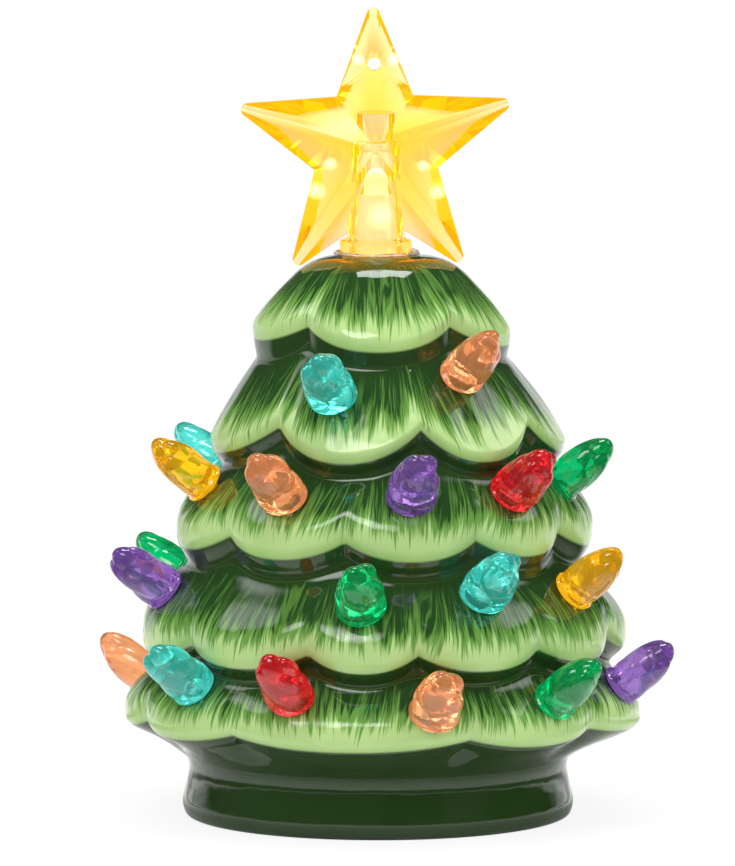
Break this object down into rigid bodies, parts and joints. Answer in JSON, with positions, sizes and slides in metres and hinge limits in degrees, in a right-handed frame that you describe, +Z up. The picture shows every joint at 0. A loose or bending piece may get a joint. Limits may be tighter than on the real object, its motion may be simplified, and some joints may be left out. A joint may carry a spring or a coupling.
{
  "type": "christmas tree lantern",
  "caption": "Glazed ceramic table tree with draped scalloped tiers, plug-in coloured bulbs, a lit amber star, and a battery base.",
  "frame": {"origin": "centre of the foot ring, on the surface that the lantern stands on", "axes": "+Z up, the front of the tree and star faces -Y, +X to the right as seen from the front"},
  "size_m": [0.1081, 0.1108, 0.1522],
  "materials": {
    "glaze": "glossy green glaze, light green lower edges",
    "bulb_red": "clear moulded",
    "bulb_green": "clear moulded",
    "bulb_teal": "clear moulded",
    "bulb_peach": "clear moulded",
    "bulb_amber": "clear moulded",
    "bulb_purple": "clear moulded",
    "clear_amber": "clear amber, lit from inside",
    "clear_glue": "clear",
    "frosted_sleeve": "translucent",
    "lamp": "warm white lamp, lit",
    "white_plastic": "moulded",
    "black_plastic": "moulded",
    "silicone": "cured silicone",
    "cell_jacket": "shrunk film",
    "spring_steel": "nickel plated",
    "steel": "plated",
    "circuit_board": "solder mask",
    "wire_red": "insulation",
    "wire_black": "insulation"
  },
  "bodies": {
    "lantern": {"battery_1": "cell_jacket", "battery_2": "cell_jacket", "battery_3": "cell_jacket", "battery_housing": "white_plastic", "battery_wire_negative": "wire_black", "board_screw_1": "steel", "board_screw_2": "steel", "bulb_a1_teal": "bulb_teal", "bulb_a2_peach": "bulb_peach", "bulb_a3_amber": "bulb_amber", "bulb_a4_red": "bulb_red", "bulb_b1_amber": "bulb_amber", "bulb_b2_peach": "bulb_peach", "bulb_b3_purple": "bulb_purple", "bulb_b4_red": "bulb_red", "bulb_b5_green": "bulb_green", "bulb_b6_amber": "bulb_amber", "bulb_b7_purple": "bulb_purple", "bulb_b8_teal": "bulb_teal", "bulb_c1_purple": "bulb_purple", "bulb_c2_green": "bulb_green", "bulb_c3_teal": "bulb_teal", "bulb_c4_amber": "bulb_amber", "bulb_c5_red": "bulb_red", "bulb_c6_peach": "bulb_peach", "bulb_c7_amber": "bulb_amber", "bulb_c8_green": "bulb_green", "bulb_d1_teal": "bulb_teal", "bulb_d2_red": "bulb_red", "bulb_d3_peach": "bulb_peach", "bulb_d4_green": "bulb_green", "bulb_d5_purple": "bulb_purple", "bulb_d6_teal": "bulb_teal", "bulb_d7_amber": "bulb_amber", "bulb_d8_red": "bulb_red", "bulb_d9_peach": "bulb_peach", "contact_bridge_1": "spring_steel", "contact_bridge_2": "spring_steel", "contact_negative": "spring_steel", "contact_positive": "spring_steel", "led_board": "circuit_board", "silicone_bead": "silicone", "star_glue": "clear_glue", "star_led": "lamp", "star_led_holder": "frosted_sleeve", "star_topper": "clear_amber", "star_wire_negative": "wire_black", "star_wire_positive": "wire_red", "switch_body": "steel", "switch_wire_1": "wire_red", "switch_wire_2": "wire_red", "tree_led_1": "lamp", "tree_led_2": "lamp", "tree_led_3": "lamp", "tree_shell": "glaze"},
    "battery_door": {"battery_door": "white_plastic"},
    "switch_knob": {"switch_knob": "black_plastic"}
  },
  "joints": [
    {"name": "battery_door_hinge", "type": "hinge", "parent": "lantern", "child": "battery_door", "pos_m": [-0.0258, 0, 0.0012], "axis": [0, 1, 0], "range_deg": [0, 80]},
    {"name": "switch_slide", "type": "slide", "parent": "lantern", "child": "switch_knob", "axis": [1, 0, 0], "range_m": [0, 0.003]}
  ]
}
